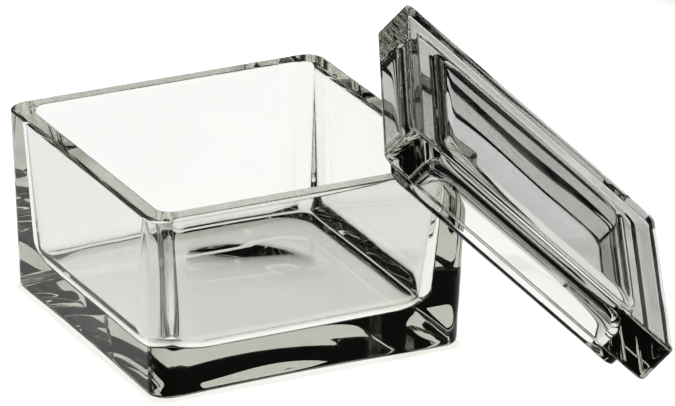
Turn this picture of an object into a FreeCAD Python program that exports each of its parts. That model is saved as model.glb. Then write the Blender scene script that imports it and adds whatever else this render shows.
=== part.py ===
"""A square pressed-glass dappen dish with its square glass lid leaning on one corner of its rim.

The origin is the middle of the whole set's footprint, on the surface it stands on. +X runs along the
dish's front wall, +Y towards its back wall and +Z up. Sizes are in millimetres and angles in degrees.
"""

import FreeCAD, Part
import math
import os

import Sketcher

TOLERANCE = 1e-3
PARTS_FOLDER = "parts"
QUARTER_TURN = math.pi / 2
FULL_TURN = 360
# rough shapes that the sketches start from, before their dimensions are bound to the sheet
STARTING_HALF_WIDTH = 20.0
STARTING_CORNER = 3.0
STARTING_HOLLOW_RADIUS = 18.0
STARTING_HOLLOW_DEPTH = 3.0
CUTS = ("PartDesign::SubtractiveLoft", "PartDesign::Pocket", "PartDesign::Groove")

DRIVING_SIZES = {
    # where the dish stands in the set's footprint
    "dish_right": -24.3,
    "dish_back": 14.1,
    # the dish
    "rim_width": 60.0,
    "foot_width": 57.9,
    "dish_height": 33.0,
    "post_radius": 3.3,
    "wall_at_rim": 3.5,
    "wall_at_floor": 4.7,
    "floor_height": 6.6,
    "mouth_corner": 3.0,
    "floor_corner": 6.0,
    "floor_fillet": 3.6,
    "rim_rounding": 0.7,
    "foot_rounding": 0.6,
    "dome_radius": 36.0,
    "dome_rise": 0.9,
    "dip_radius": 15.6,
    "dip_depth": 0.9,
    # the lid, measured down from its top face
    "lid_width": 60.0,
    "flange_thickness": 7.6,
    "lid_corner": 1.8,
    "lid_rounding": 0.5,
    "plug_inset": 4.2,
    "plug_depth": 2.8,
    "plug_corner": 2.4,
    "plug_rim": 3.1,
    "panel_thickness": 3.0,
    "recess_corner": 4.0,
    "recess_fillet": 3.0,
    # how the lid leans: its lower edge lies on the surface
    "lean_angle": 42.5,
    "lean_heading": -25.8,
    "lid_right": 46.5,
    "lid_back": -22.1,
}


def sheet_of_sizes(document):
    """Puts every driving size in the spreadsheet, one aliased cell a row."""
    sheet = document.addObject("Spreadsheet::Sheet", "sizes")
    for row, (name, value) in enumerate(DRIVING_SIZES.items(), start=1):
        sheet.set(f"A{row}", name)
        sheet.set(f"B{row}", str(value))
        sheet.setAlias(f"B{row}", name)
    document.recompute()


def origin_plane(body, role):
    """The body's own origin plane that has this role."""
    return next(feature for feature in body.Origin.OriginFeatures if feature.Role == role)


def new_sketch(body, name, role, offset="0"):
    """An empty sketch on one of the body's own origin planes, raised off it by a bound offset."""
    sketch = body.newObject("Sketcher::SketchObject", name)
    sketch.AttachmentSupport = [(origin_plane(body, role), "")]
    sketch.MapMode = "FlatFace"
    sketch.setExpression("AttachmentOffset.Base.z", offset)
    return sketch


def bind(sketch, expression, *constraint):
    """Adds a dimension to the sketch and binds it to the sheet."""
    index = sketch.addConstraint(Sketcher.Constraint(*constraint))
    sketch.setExpression(f"Constraints[{index}]", expression)


def rounded_square(body, name, width, corner, offset="0"):
    """A centred square with round corners, parallel to the body's XY plane."""
    sketch = new_sketch(body, name, "XY_Plane", offset)
    half, radius = STARTING_HALF_WIDTH, STARTING_CORNER
    flat = half - radius
    line_ends = [
        ((-flat, -half), (flat, -half)),
        ((half, -flat), (half, flat)),
        ((flat, half), (-flat, half)),
        ((-half, flat), (-half, -flat)),
    ]
    arc_middles = [(flat, -flat), (flat, flat), (-flat, flat), (-flat, -flat)]
    for start, end in line_ends:
        sketch.addGeometry(Part.LineSegment(FreeCAD.Vector(*start), FreeCAD.Vector(*end)))
    for turn, middle in enumerate(arc_middles, start=-1):
        circle = Part.Circle(FreeCAD.Vector(*middle), FreeCAD.Vector(0, 0, 1), radius)
        start, end = turn * QUARTER_TURN, (turn + 1) * QUARTER_TURN
        sketch.addGeometry(Part.ArcOfCircle(circle, start, end))
    for side in range(4):
        arc = side + 4
        sketch.addConstraint(Sketcher.Constraint("Tangent", side, 2, arc, 1))
        sketch.addConstraint(Sketcher.Constraint("Tangent", arc, 2, (side + 1) % 4, 1))
        sketch.addConstraint(Sketcher.Constraint("Vertical" if side % 2 else "Horizontal", side))
    for arc in (5, 6, 7):
        sketch.addConstraint(Sketcher.Constraint("Equal", 4, arc))
    sketch.addConstraint(Sketcher.Constraint("Symmetric", 0, 1, 2, 1, -1, 1))
    bind(sketch, corner, "Radius", 4, radius)
    bind(sketch, width, "DistanceX", 3, 1, 1, 1, 2 * half)
    bind(sketch, width, "DistanceY", 0, 1, 2, 1, 2 * half)
    return sketch


def loft(body, kind, name, bottom, top):
    """A straight-sided loft between two rounded squares."""
    feature = body.newObject(kind, name)
    feature.Profile = bottom
    feature.Sections = [top]
    feature.Ruled = True
    body.Document.recompute()
    return feature


def fillet(body, name, base, radius, chosen):
    """A fillet on the base feature's edges that the test chooses by their bounds."""
    edges = enumerate(base.Shape.Edges, start=1)
    feature = body.newObject("PartDesign::Fillet", name)
    feature.Base = (base, [f"Edge{index}" for index, edge in edges if chosen(edge.BoundBox)])
    feature.setExpression("Radius", radius)
    body.Document.recompute()
    return feature


def level_at(height):
    """A test for edges that lie flat at this height."""
    return lambda box: abs(box.ZMin - height) < TOLERANCE and abs(box.ZMax - height) < TOLERANCE


def extrude(body, kind, name, sketch, length):
    """A pad that hangs down from its sketch, or a pocket that cuts up from it, with a bound length."""
    feature = body.newObject(kind, name)
    feature.Profile = sketch
    feature.Reversed = True
    feature.setExpression("Length", length)
    body.Document.recompute()
    return feature


def spherical_hollow(body, name, level, radius, depth, upward):
    """Cuts a shallow spherical hollow, centred on the body, into the glass above or below this level."""
    sketch = new_sketch(body, f"{name}Profile", "XZ_Plane")
    sketch.setExpression("AttachmentOffset.Base.y", level)
    start_radius, start_depth = STARTING_HOLLOW_RADIUS, STARTING_HOLLOW_DEPTH
    side = 1 if upward else -1
    sphere = (start_radius**2 + start_depth**2) / (2 * start_depth)
    halfway = (sphere**2 - (start_radius / 2) ** 2) ** 0.5 - (sphere - start_depth)
    crown = FreeCAD.Vector(0, side * start_depth)
    bend = FreeCAD.Vector(start_radius / 2, side * halfway)
    edge = FreeCAD.Vector(start_radius, 0)
    middle = FreeCAD.Vector(0, 0)
    # a sketch keeps every arc anticlockwise, so the end that meets the crown depends on the side
    edge_end, crown_end = (1, 2) if upward else (2, 1)
    low, high = (2, 1) if upward else (1, 2)
    sketch.addGeometry(Part.Arc(edge, bend, crown))
    sketch.addGeometry(Part.LineSegment(crown, middle))
    sketch.addGeometry(Part.LineSegment(middle, edge))
    sketch.addConstraint(Sketcher.Constraint("Coincident", 0, crown_end, 1, 1))
    sketch.addConstraint(Sketcher.Constraint("Coincident", 1, 2, 2, 1))
    sketch.addConstraint(Sketcher.Constraint("Coincident", 2, 2, 0, edge_end))
    sketch.addConstraint(Sketcher.Constraint("Coincident", 1, 2, -1, 1))
    sketch.addConstraint(Sketcher.Constraint("PointOnObject", 1, 1, -2))
    sketch.addConstraint(Sketcher.Constraint("PointOnObject", 2, 2, -1))
    sketch.addConstraint(Sketcher.Constraint("PointOnObject", 0, 3, -2))
    bind(sketch, radius, "DistanceX", 2, 1, 2, 2, start_radius)
    bind(sketch, depth, "DistanceY", 1, low, 1, high, start_depth)
    groove = body.newObject("PartDesign::Groove", name)
    groove.Profile = sketch
    groove.ReferenceAxis = (sketch, ["V_Axis"])
    groove.Angle = FULL_TURN
    body.Document.recompute()


def make_dish(document):
    """The dish: a block with slightly leaning walls, hollowed from above.

    A shallow dome under the foot leaves it standing on its four corners, and the cavity's floor is dished.
    """
    body = document.addObject("PartDesign::Body", "Dish")
    body.Label = "dish"
    foot = rounded_square(body, "FootOutline", "sizes.foot_width", "sizes.post_radius")
    rim = rounded_square(
        body, "RimOutline", "sizes.rim_width", "sizes.post_radius", "sizes.dish_height"
    )
    loft(body, "PartDesign::AdditiveLoft", "Block", foot, rim)
    floor = rounded_square(
        body,
        "FloorOutline",
        "sizes.rim_width - 2 * sizes.wall_at_floor",
        "sizes.floor_corner",
        "sizes.floor_height",
    )
    mouth = rounded_square(
        body,
        "MouthOutline",
        "sizes.rim_width - 2 * sizes.wall_at_rim",
        "sizes.mouth_corner",
        "sizes.dish_height",
    )
    cavity = loft(body, "PartDesign::SubtractiveLoft", "Cavity", floor, mouth)
    hollow = fillet(
        body, "CavityFloor", cavity, "sizes.floor_fillet", level_at(DRIVING_SIZES["floor_height"])
    )
    soft_rim = fillet(
        body, "Rim", hollow, "sizes.rim_rounding", level_at(DRIVING_SIZES["dish_height"])
    )
    fillet(body, "Foot", soft_rim, "sizes.foot_rounding", level_at(0))
    spherical_hollow(
        body, "FootDome", "0", "sizes.dome_radius", "sizes.dome_rise", upward=True
    )
    spherical_hollow(
        body, "FloorDip", "sizes.floor_height", "sizes.dip_radius", "sizes.dip_depth", upward=False
    )
    body.setExpression("Placement.Base.x", "sizes.dish_right")
    body.setExpression("Placement.Base.y", "sizes.dish_back")
    return body


def make_lid(document):
    """The lid: a thick square plate with a raised ring below it that drops into the mouth of the dish."""
    body = document.addObject("PartDesign::Body", "Lid")
    body.Label = "lid"
    plate = rounded_square(body, "PlateOutline", "sizes.lid_width", "sizes.lid_corner")
    flange = extrude(
        body, "PartDesign::Pad", "Flange", plate, "sizes.flange_thickness"
    )
    soft_top = fillet(body, "TopEdge", flange, "sizes.lid_rounding", level_at(0))
    thickness = DRIVING_SIZES["flange_thickness"]
    fillet(body, "LowerEdge", soft_top, "sizes.lid_rounding", level_at(-thickness))
    ring = rounded_square(
        body,
        "PlugOutline",
        "sizes.lid_width - 2 * sizes.plug_inset",
        "sizes.plug_corner",
        "-sizes.flange_thickness",
    )
    plug = extrude(body, "PartDesign::Pad", "Plug", ring, "sizes.plug_depth")
    bottom = thickness + DRIVING_SIZES["plug_depth"]
    fillet(body, "PlugEdge", plug, "sizes.lid_rounding", level_at(-bottom))
    opening = rounded_square(
        body,
        "RecessOutline",
        "sizes.lid_width - 2 * (sizes.plug_inset + sizes.plug_rim)",
        "sizes.recess_corner",
        "-(sizes.flange_thickness + sizes.plug_depth)",
    )
    recess = extrude(
        body,
        "PartDesign::Pocket",
        "Recess",
        opening,
        "sizes.flange_thickness + sizes.plug_depth - sizes.panel_thickness",
    )
    roof = level_at(-DRIVING_SIZES["panel_thickness"])
    fillet(body, "RecessRoof", recess, "sizes.recess_fillet", roof)
    body.setExpression("Placement.Rotation.Yaw", "sizes.lean_heading")
    body.setExpression("Placement.Rotation.Pitch", "sizes.lean_angle")
    body.setExpression("Placement.Base.x", "sizes.dish_right + sizes.lid_right")
    body.setExpression("Placement.Base.y", "sizes.dish_back + sizes.lid_back")
    body.setExpression(
        "Placement.Base.z",
        "sizes.lid_width / 2 * sin(sizes.lean_angle * 1deg)"
        " + sizes.flange_thickness * cos(sizes.lean_angle * 1deg)"
        " - sizes.lid_rounding * (sin(sizes.lean_angle * 1deg) + cos(sizes.lean_angle * 1deg) - 1)",
    )
    return body


def check_cuts(body):
    """Stops if a feature that should cut the body took nothing away."""
    steps = [feature for feature in body.Group if feature.isDerivedFrom("PartDesign::Feature")]
    for before, after in zip(steps, steps[1:]):
        if after.TypeId in CUTS and after.Shape.Volume >= before.Shape.Volume:
            raise RuntimeError(f"{after.Label} cut nothing from {body.Label}")


def check(document, bodies):
    """Stops if any feature failed, or a body isn't one sound solid."""
    for item in document.Objects:
        if "Invalid" in item.State or "Error" in item.State:
            raise RuntimeError(f"{item.Label} failed: {item.State}")
    for body in bodies:
        check_cuts(body)
        if body.Shape.isNull() or not body.Shape.isValid() or len(body.Shape.Solids) != 1:
            raise RuntimeError(f"{body.Label} isn't one sound solid")


def main():
    document = FreeCAD.newDocument("dappen_dish")
    sheet_of_sizes(document)
    bodies = [make_dish(document), make_lid(document)]
    document.recompute()
    check(document, bodies)
    os.makedirs(PARTS_FOLDER, exist_ok=True)
    for body in bodies:
        body.Shape.exportStep(f"{PARTS_FOLDER}/{body.Label}.step")
        box = body.Shape.BoundBox
        print(body.Label, round(body.Shape.Volume), box)


main()
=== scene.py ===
"""A clear pressed-glass dappen dish with its glass lid leaning on one corner, on a pale floor.

The CAD frame gives the place and size of both pieces. Each is replaced by a fine, smooth loft of rounded
squares, because light bends through glass and shows every facet of a coarser mesh. Lengths that shape the
glass are shares of the rim's width, and the rest are in metres and degrees.
"""

import math

import bmesh
import bpy
import numpy as np
from mathutils import Matrix, Vector

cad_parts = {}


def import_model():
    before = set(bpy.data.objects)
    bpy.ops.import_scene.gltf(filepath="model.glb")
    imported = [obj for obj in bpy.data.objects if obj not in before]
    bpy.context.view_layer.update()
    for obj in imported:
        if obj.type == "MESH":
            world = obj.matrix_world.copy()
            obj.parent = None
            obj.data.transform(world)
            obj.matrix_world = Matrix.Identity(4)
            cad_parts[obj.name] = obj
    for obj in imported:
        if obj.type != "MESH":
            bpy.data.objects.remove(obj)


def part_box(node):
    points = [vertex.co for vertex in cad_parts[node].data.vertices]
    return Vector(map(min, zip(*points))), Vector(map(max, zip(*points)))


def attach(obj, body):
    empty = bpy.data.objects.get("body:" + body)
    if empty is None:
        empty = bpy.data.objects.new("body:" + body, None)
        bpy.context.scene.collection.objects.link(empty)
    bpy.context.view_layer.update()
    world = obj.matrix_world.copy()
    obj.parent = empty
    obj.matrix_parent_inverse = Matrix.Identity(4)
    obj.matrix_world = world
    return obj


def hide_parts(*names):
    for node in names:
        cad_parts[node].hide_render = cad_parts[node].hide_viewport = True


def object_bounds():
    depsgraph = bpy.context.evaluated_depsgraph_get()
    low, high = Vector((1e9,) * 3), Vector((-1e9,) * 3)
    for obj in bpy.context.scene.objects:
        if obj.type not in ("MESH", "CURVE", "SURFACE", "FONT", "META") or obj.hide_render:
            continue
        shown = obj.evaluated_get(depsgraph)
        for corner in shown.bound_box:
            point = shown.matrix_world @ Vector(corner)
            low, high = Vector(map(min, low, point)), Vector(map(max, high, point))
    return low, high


# how finely the lofts are divided
CORNER_STEPS = 14
FLAT_STEPS = 22
WALL_STEPS = 24
ROUNDING_STEPS = 7
FILLET_STEPS = 18
FACE_STEPS = 30
LEDGE_STEPS = 6

# the most that a corner may take up of half its side
MOST_ROUND = 0.9

# the dish, in shares of the rim's width
FOOT_INSET = 0.0177
POST_RADIUS = 0.055
WALL_AT_RIM = 0.058
WALL_AT_FLOOR = 0.078
FLOOR_HEIGHT = 0.11
MOUTH_CORNER = 0.05
FLOOR_CORNER = 0.1
FLOOR_FILLET = 0.06
RIM_ROUNDING = 0.012
FOOT_ROUNDING = 0.012
DOME_RADIUS = 0.6
DOME_RISE = 0.015
FLOOR_DIP = 0.012
DIP_RADIUS = 0.26

# the lid, in shares of the rim's width
FLANGE_THICKNESS = 0.1267
LID_CORNER = 0.03
LID_ROUNDING = 0.0083
RING_INSET = 0.07
RING_DEPTH = 0.0467
RING_WIDTH = 0.0517
RING_CORNER = 0.04
PANEL_THICKNESS = 0.05
RECESS_CORNER = 0.067
RECESS_FILLET = 0.05
LEAN_ANGLE = 42.5
LEAN_HEADING = -25.8

# the glass: its tint and absorption are stronger than real clear glass has, which darkens its edges
GLASS_TINTS = ((0.85, 0.85, 0.84, 1.0), (0.88, 0.88, 0.87, 1.0))
GLASS_IOR = 1.5
SPECULAR_TINT = (0.0, 0.0, 0.0, 1.0)
ABSORPTION_COLOUR = (0.5, 0.5, 0.42, 1.0)
ABSORPTION_DENSITY = 18.0
TINT_SCALE = 25.0
WAVE_SCALE = 45.0
WAVE_HEIGHT = 0.0003
WAVE_STRENGTH = 1.0
SMEAR_SCALE = 60.0
SMEAR_ROUGHNESS = (0.0, 0.012)

# the floor
FLOOR_GAP = 0.0003
FLOOR_REACH = 3.0
FLOOR_TINTS = ((0.89, 0.89, 0.89, 1.0), (0.91, 0.91, 0.91, 1.0))
FLOOR_ROUGHNESS = 0.8
FLOOR_GRAIN_SCALE = 30.0

# the light: a narrow pool of it, so that the glass shows a dark surround
WORLD_STRENGTH = 0.015
LAMP_HEIGHT = 3.0
LAMP_POWER = 315.0
LAMP_ANGLE = 5.0
LAMP_BLEND = 0.1
LAMP_RADIUS = 0.02
LAMP_SIDE = 0.017
LAMP_BACK = 0.058

# the camera
CAMERA_AZIMUTH = 26.745
CAMERA_ELEVATION = 22.117
CAMERA_ROLL = 0.535
CAMERA_DISTANCE = 1.2089
CAMERA_SENSOR = 36.0
CAMERA_LENS = 377.99
AIM_RIGHT = -0.01093
AIM_UP = -0.00147

LIGHT_BOUNCES = 24
CONTRAST_LOOK = "High Contrast"
FIREFLY_LIMIT = 6.0


def even_shares(count):
    """Shares from just past 0 up to 1, evenly spaced."""
    return [step / count for step in range(1, count + 1)]


def eased_shares(count):
    """Shares from just past 0 up to 1, closer together at both ends."""
    return [(1 - math.cos(math.pi * share)) / 2 for share in even_shares(count)]


def ring(half, corner, height):
    """A rounded square of points, anticlockwise. The height may be one number or one for each point.

    Its sides never shrink to nothing, because faces with no area spoil the smooth shading.
    """
    corner = min(corner, MOST_ROUND * half)
    reach = half - corner
    middles = [(reach, reach), (-reach, reach), (-reach, -reach), (reach, -reach)]
    points = []
    for turn, (right, back) in enumerate(middles):
        for share in [0.0] + even_shares(CORNER_STEPS):
            angle = (turn + share) * math.pi / 2
            points.append((right + corner * math.cos(angle), back + corner * math.sin(angle)))
        start = np.array(points[-1])
        quarter_turn = turn * math.pi / 2
        side = -2 * reach * np.array([math.cos(quarter_turn), math.sin(quarter_turn)])
        points += [tuple(start + side * share) for share in eased_shares(FLAT_STEPS)[:-1]]
    flat = np.array(points)
    return np.column_stack([flat, np.broadcast_to(height, len(flat))])


def loft(rings, first_height, last_height):
    """The vertices and faces of a closed skin through the rings, with a middle point at each end."""
    count = len(rings[0])
    vertices = [tuple(point) for points in rings for point in points]
    faces = []
    for level in range(len(rings) - 1):
        for index in range(count):
            following = (index + 1) % count
            below, above = level * count, (level + 1) * count
            faces.append((below + index, below + following, above + following, above + index))
    first, last = len(vertices), len(vertices) + 1
    vertices += [(0.0, 0.0, first_height), (0.0, 0.0, last_height)]
    top = (len(rings) - 1) * count
    for index in range(count):
        following = (index + 1) % count
        faces.append((first, following, index))
        faces.append((last, top + index, top + following))
    return vertices, faces


def dome(points):
    """How far the hollow under the foot rises above each point."""
    sphere = (DOME_RADIUS**2 + DOME_RISE**2) / (2 * DOME_RISE)
    away = np.hypot(points[:, 0], points[:, 1])
    rise = np.sqrt(sphere**2 - np.minimum(away, DOME_RADIUS) ** 2) - (sphere - DOME_RISE)
    return np.maximum(rise, 0.0)


def dish_rings(height):
    """The dish's outlines, from the middle of its foot, up outside and down inside to its floor."""
    rings = []

    def outer(level):
        return 0.5 - FOOT_INSET * (1 - level / height)

    def inner(level):
        share = (height - level) / (height - FLOOR_HEIGHT)
        return 0.5 - WALL_AT_RIM - (WALL_AT_FLOOR - WALL_AT_RIM) * share

    sole = outer(0) - FOOT_ROUNDING
    for share in even_shares(FACE_STEPS):
        corner = sole * share * (1 - share) + POST_RADIUS * share**2
        points = ring(sole * share, corner, 0.0)
        points[:, 2] = dome(points)
        rings.append(points)
    arch = rings[-1][:, 2]
    for share in even_shares(ROUNDING_STEPS):
        angle = share * math.pi / 2
        half = sole + FOOT_ROUNDING * math.sin(angle)
        rings.append(ring(half, POST_RADIUS, arch + FOOT_ROUNDING * (1 - math.cos(angle))))
    wall_top = height - RIM_ROUNDING
    for share in eased_shares(WALL_STEPS):
        level = FOOT_ROUNDING + (wall_top - FOOT_ROUNDING) * share
        rings.append(ring(outer(level), POST_RADIUS, level + arch * (1 - share)))
    for share in even_shares(ROUNDING_STEPS):
        angle = share * math.pi / 2
        half = 0.5 - RIM_ROUNDING * (1 - math.cos(angle))
        rings.append(ring(half, POST_RADIUS, wall_top + RIM_ROUNDING * math.sin(angle)))
    mouth = 0.5 - WALL_AT_RIM
    rim_edge, mouth_edge = 0.5 - RIM_ROUNDING, mouth + RIM_ROUNDING
    for share in eased_shares(LEDGE_STEPS):
        half = rim_edge + (mouth_edge - rim_edge) * share
        rings.append(ring(half, POST_RADIUS + (MOUTH_CORNER - POST_RADIUS) * share, height))
    for share in even_shares(ROUNDING_STEPS):
        angle = share * math.pi / 2
        half = mouth_edge - RIM_ROUNDING * math.sin(angle)
        rings.append(ring(half, MOUTH_CORNER, height - RIM_ROUNDING * (1 - math.cos(angle))))
    wall_foot = FLOOR_HEIGHT + FLOOR_FILLET
    for share in eased_shares(WALL_STEPS):
        level = wall_top + (wall_foot - wall_top) * share
        corner = MOUTH_CORNER + (FLOOR_CORNER - MOUTH_CORNER) * share
        rings.append(ring(inner(level), corner, level))
    side = inner(wall_foot)
    for share in even_shares(FILLET_STEPS):
        angle = share * math.pi / 2
        half = side - FLOOR_FILLET * (1 - math.cos(angle))
        rings.append(ring(half, FLOOR_CORNER, wall_foot - FLOOR_FILLET * math.sin(angle)))
    flat = side - FLOOR_FILLET
    for share in even_shares(FACE_STEPS)[:-1]:
        half = flat * (1 - share)
        corner = FLOOR_CORNER + (half - FLOOR_CORNER) * min(1.0, 2 * share)
        points = ring(half, corner, 0.0)
        away = np.hypot(points[:, 0], points[:, 1]) / DIP_RADIUS
        points[:, 2] = FLOOR_HEIGHT - FLOOR_DIP * np.maximum(0.0, 1 - away**2)
        rings.append(points)
    return rings


def lid_rings():
    """The lid's outlines, from the middle of its top face, down outside and up into the recess below."""
    rings = []
    bottom = -FLANGE_THICKNESS
    ring_half = 0.5 - RING_INSET
    ring_bottom = bottom - RING_DEPTH
    recess_half = ring_half - RING_WIDTH
    edge = 0.5 - LID_ROUNDING
    for share in even_shares(FACE_STEPS):
        half = edge * share
        rings.append(ring(half, half + (LID_CORNER - half) * share**2, 0.0))
    for share in even_shares(ROUNDING_STEPS):
        angle = share * math.pi / 2
        rings.append(
            ring(edge + LID_ROUNDING * math.sin(angle), LID_CORNER, LID_ROUNDING * (math.cos(angle) - 1))
        )
    for share in eased_shares(WALL_STEPS):
        level = -LID_ROUNDING + (bottom + 2 * LID_ROUNDING) * share
        rings.append(ring(0.5, LID_CORNER, level))
    for share in even_shares(ROUNDING_STEPS):
        angle = share * math.pi / 2
        half = edge + LID_ROUNDING * math.cos(angle)
        rings.append(ring(half, LID_CORNER, bottom + LID_ROUNDING * (1 - math.sin(angle))))
    step_in = ring_half + LID_ROUNDING
    for share in eased_shares(LEDGE_STEPS):
        half = edge + (step_in - edge) * share
        rings.append(ring(half, LID_CORNER + (RING_CORNER - LID_CORNER) * share, bottom))
    for share in even_shares(ROUNDING_STEPS):
        angle = share * math.pi / 2
        half = step_in - LID_ROUNDING * math.sin(angle)
        rings.append(ring(half, RING_CORNER, bottom - LID_ROUNDING * (1 - math.cos(angle))))
    for share in eased_shares(LEDGE_STEPS):
        level = bottom - LID_ROUNDING - (RING_DEPTH - 2 * LID_ROUNDING) * share
        rings.append(ring(ring_half, RING_CORNER, level))
    for share in even_shares(ROUNDING_STEPS):
        angle = share * math.pi / 2
        half = ring_half - LID_ROUNDING * (1 - math.cos(angle))
        rings.append(ring(half, RING_CORNER, ring_bottom + LID_ROUNDING * (1 - math.sin(angle))))
    outside, inside = ring_half - LID_ROUNDING, recess_half + LID_ROUNDING
    for share in eased_shares(LEDGE_STEPS):
        half = outside + (inside - outside) * share
        rings.append(ring(half, RING_CORNER + (RECESS_CORNER - RING_CORNER) * share, ring_bottom))
    for share in even_shares(ROUNDING_STEPS):
        angle = share * math.pi / 2
        half = inside - LID_ROUNDING * math.sin(angle)
        rings.append(ring(half, RECESS_CORNER, ring_bottom + LID_ROUNDING * (1 - math.cos(angle))))
    low, high = ring_bottom + LID_ROUNDING, -PANEL_THICKNESS - RECESS_FILLET
    for share in eased_shares(LEDGE_STEPS):
        rings.append(ring(recess_half, RECESS_CORNER, low + (high - low) * share))
    for share in even_shares(FILLET_STEPS):
        angle = share * math.pi / 2
        half = recess_half - RECESS_FILLET * (1 - math.cos(angle))
        rings.append(ring(half, RECESS_CORNER, high + RECESS_FILLET * math.sin(angle)))
    roof = recess_half - RECESS_FILLET
    for share in even_shares(FACE_STEPS)[:-1]:
        half = roof * (1 - share)
        corner = RECESS_CORNER + (half - RECESS_CORNER) * min(1.0, 2 * share)
        rings.append(ring(half, corner, -PANEL_THICKNESS))
    return rings


def glass_piece(name, vertices, faces, material, node):
    """A smooth closed glass mesh in the row frame, which stands for a CAD node and moves with its body."""
    mesh = bpy.data.meshes.new(name)
    mesh.from_pydata([tuple(vertex) for vertex in vertices], [], faces)
    shell = bmesh.new()
    shell.from_mesh(mesh)
    bmesh.ops.recalc_face_normals(shell, faces=shell.faces)
    if shell.calc_volume(signed=True) < 0:
        bmesh.ops.reverse_faces(shell, faces=shell.faces)
    shell.to_mesh(mesh)
    shell.free()
    mesh.polygons.foreach_set("use_smooth", [True] * len(mesh.polygons))
    mesh.materials.append(material)
    piece = bpy.data.objects.new(name, mesh)
    bpy.context.scene.collection.objects.link(piece)
    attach(piece, node)
    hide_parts(node)
    return piece


def make_dish(material):
    """The dish, centred on its CAD node and as wide and tall as it."""
    low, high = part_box("dish")
    width = high.x - low.x
    middle = Vector(((low.x + high.x) / 2, (low.y + high.y) / 2, low.z))
    rings = dish_rings((high.z - low.z) / width)
    vertices, faces = loft(rings, DOME_RISE, FLOOR_HEIGHT - FLOOR_DIP)
    placed = [middle + width * Vector(vertex) for vertex in vertices]
    return glass_piece("glass_dish", placed, faces, material, "dish")


def make_lid(material):
    """The lid, turned to lean as its CAD node does and laid in the middle of that node's box."""
    dish_low, dish_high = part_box("dish")
    width = dish_high.x - dish_low.x
    vertices, faces = loft(lid_rings(), 0.0, -PANEL_THICKNESS)
    heading = Matrix.Rotation(math.radians(LEAN_HEADING), 3, "Z")
    lean = Matrix.Rotation(math.radians(LEAN_ANGLE), 3, "Y")
    turned = np.array([heading @ lean @ (width * Vector(vertex)) for vertex in vertices])
    low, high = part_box("lid")
    shift = (np.array(low) + np.array(high)) / 2 - (turned.min(axis=0) + turned.max(axis=0)) / 2
    return glass_piece("glass_lid", turned + shift, faces, material, "lid")


def noise(tree, coordinates, scale, detail=2.0):
    """A noise texture in object coordinates."""
    texture = tree.nodes.new("ShaderNodeTexNoise")
    texture.inputs["Scale"].default_value = scale
    texture.inputs["Detail"].default_value = detail
    tree.links.new(coordinates.outputs["Object"], texture.inputs["Vector"])
    return texture


def tint_ramp(tree, texture, tints):
    """A ramp that turns a texture's values into colours between two tints."""
    ramp = tree.nodes.new("ShaderNodeValToRGB")
    for stop, tint in zip(ramp.color_ramp.elements, tints):
        stop.color = tint
    tree.links.new(texture.outputs["Fac"], ramp.inputs["Fac"])
    return ramp


def new_material(name):
    """An empty node material and its tree."""
    material = bpy.data.materials.new(name)
    material.use_nodes = True
    material.node_tree.nodes.clear()
    return material, material.node_tree


def pressed_glass():
    """Clear glass with a faint uneven tint and slight ripples from the mould.

    Its shadows let light through, and its outer faces mirror the floor only weakly.
    """
    material, tree = new_material("pressed_glass")
    coordinates = tree.nodes.new("ShaderNodeTexCoord")
    shader = tree.nodes.new("ShaderNodeBsdfPrincipled")
    shader.inputs["Transmission Weight"].default_value = 1.0
    shader.inputs["IOR"].default_value = GLASS_IOR
    shader.inputs["Specular Tint"].default_value = SPECULAR_TINT
    tints = tint_ramp(tree, noise(tree, coordinates, TINT_SCALE), GLASS_TINTS)
    tree.links.new(tints.outputs["Color"], shader.inputs["Base Color"])
    smears = tree.nodes.new("ShaderNodeMapRange")
    smears.inputs["To Min"].default_value, smears.inputs["To Max"].default_value = SMEAR_ROUGHNESS
    smear_noise = noise(tree, coordinates, SMEAR_SCALE)
    tree.links.new(smear_noise.outputs["Fac"], smears.inputs["Value"])
    tree.links.new(smears.outputs["Result"], shader.inputs["Roughness"])
    ripples = tree.nodes.new("ShaderNodeBump")
    ripples.inputs["Strength"].default_value = WAVE_STRENGTH
    ripples.inputs["Distance"].default_value = WAVE_HEIGHT
    tree.links.new(noise(tree, coordinates, WAVE_SCALE, 0.0).outputs["Fac"], ripples.inputs["Height"])
    tree.links.new(ripples.outputs["Normal"], shader.inputs["Normal"])
    body = tree.nodes.new("ShaderNodeVolumeAbsorption")
    body.inputs["Color"].default_value = ABSORPTION_COLOUR
    body.inputs["Density"].default_value = ABSORPTION_DENSITY
    path = tree.nodes.new("ShaderNodeLightPath")
    clear = tree.nodes.new("ShaderNodeBsdfTransparent")
    mix = tree.nodes.new("ShaderNodeMixShader")
    output = tree.nodes.new("ShaderNodeOutputMaterial")
    tree.links.new(path.outputs["Is Shadow Ray"], mix.inputs["Fac"])
    tree.links.new(shader.outputs["BSDF"], mix.inputs[1])
    tree.links.new(clear.outputs["BSDF"], mix.inputs[2])
    tree.links.new(mix.outputs["Shader"], output.inputs["Surface"])
    tree.links.new(body.outputs["Volume"], output.inputs["Volume"])
    return material


def floor_material():
    """Pale matt paper with a barely uneven tone."""
    material, tree = new_material("pale_floor")
    coordinates = tree.nodes.new("ShaderNodeTexCoord")
    shader = tree.nodes.new("ShaderNodeBsdfPrincipled")
    shader.inputs["Roughness"].default_value = FLOOR_ROUGHNESS
    tints = tint_ramp(tree, noise(tree, coordinates, FLOOR_GRAIN_SCALE), FLOOR_TINTS)
    tree.links.new(tints.outputs["Color"], shader.inputs["Base Color"])
    output = tree.nodes.new("ShaderNodeOutputMaterial")
    tree.links.new(shader.outputs["BSDF"], output.inputs["Surface"])
    return material


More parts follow.
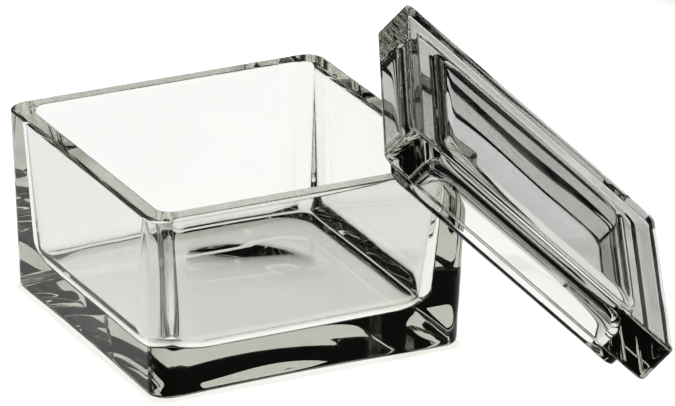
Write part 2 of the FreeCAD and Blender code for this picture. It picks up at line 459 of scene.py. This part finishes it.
def make_floor():
    """A wide pale floor just under the foot."""
    corners = [(-1, -1), (1, -1), (1, 1), (-1, 1)]
    mesh = bpy.data.meshes.new("floor")
    mesh.from_pydata([(FLOOR_REACH * x, FLOOR_REACH * y, -FLOOR_GAP) for x, y in corners], [], [(0, 1, 2, 3)])
    mesh.materials.append(floor_material())
    floor = bpy.data.objects.new("floor", mesh)
    bpy.context.scene.collection.objects.link(floor)


def view_axes():
    """The camera's right, up and forward directions."""
    azimuth, elevation = math.radians(CAMERA_AZIMUTH), math.radians(CAMERA_ELEVATION)
    forward = Vector(
        (
            math.cos(elevation) * math.sin(azimuth),
            math.cos(elevation) * math.cos(azimuth),
            -math.sin(elevation),
        )
    )
    level_right = Vector((math.cos(azimuth), -math.sin(azimuth), 0.0))
    level_up = level_right.cross(forward)
    roll = math.radians(CAMERA_ROLL)
    right = math.cos(roll) * level_right + math.sin(roll) * level_up
    up = math.cos(roll) * level_up - math.sin(roll) * level_right
    return right, up, forward


def make_camera(middle):
    """A long lens that looks down at the set from front left, aimed a little beside its middle."""
    right, up, forward = view_axes()
    data = bpy.data.cameras.new("camera")
    data.sensor_width = CAMERA_SENSOR
    data.lens = CAMERA_LENS
    camera = bpy.data.objects.new("camera", data)
    bpy.context.scene.collection.objects.link(camera)
    place = Matrix((right, up, -forward)).transposed().to_4x4()
    place.translation = middle + AIM_RIGHT * right + AIM_UP * up - CAMERA_DISTANCE * forward
    camera.matrix_world = place
    bpy.context.scene.camera = camera


def make_lamp():
    """A lamp hung straight above a pool of floor, which reaches under and behind the glass."""
    data = bpy.data.lights.new("overhead_lamp", "SPOT")
    data.energy = LAMP_POWER
    data.spot_size = math.radians(LAMP_ANGLE)
    data.spot_blend = LAMP_BLEND
    data.shadow_soft_size = LAMP_RADIUS
    lamp = bpy.data.objects.new("overhead_lamp", data)
    bpy.context.scene.collection.objects.link(lamp)
    lamp.location = (LAMP_SIDE, LAMP_BACK, LAMP_HEIGHT)


def make_world():
    """A dim, even surround, which the glass shows as its dark edges."""
    world = bpy.data.worlds.new("dim_surround")
    world.use_nodes = True
    world.node_tree.nodes["Background"].inputs["Color"].default_value = (1.0, 1.0, 1.0, 1.0)
    world.node_tree.nodes["Background"].inputs["Strength"].default_value = WORLD_STRENGTH
    bpy.context.scene.world = world


def set_light_paths():
    """Lets light pass through many glass walls, and deepens the contrast of the picture."""
    scene = bpy.context.scene
    scene.cycles.max_bounces = LIGHT_BOUNCES
    scene.cycles.transmission_bounces = LIGHT_BOUNCES
    scene.cycles.glossy_bounces = LIGHT_BOUNCES
    scene.cycles.transparent_max_bounces = LIGHT_BOUNCES
    scene.cycles.blur_glossy = 0.0
    scene.cycles.sample_clamp_indirect = FIREFLY_LIMIT
    scene.view_settings.view_transform = "Standard"
    scene.view_settings.look = CONTRAST_LOOK


def main():
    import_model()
    cad_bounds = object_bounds()
    glass = pressed_glass()
    make_dish(glass)
    make_lid(glass)
    make_floor()
    make_camera((Vector(cad_bounds[0]) + Vector(cad_bounds[1])) / 2)
    make_lamp()
    make_world()
    set_light_paths()


main()
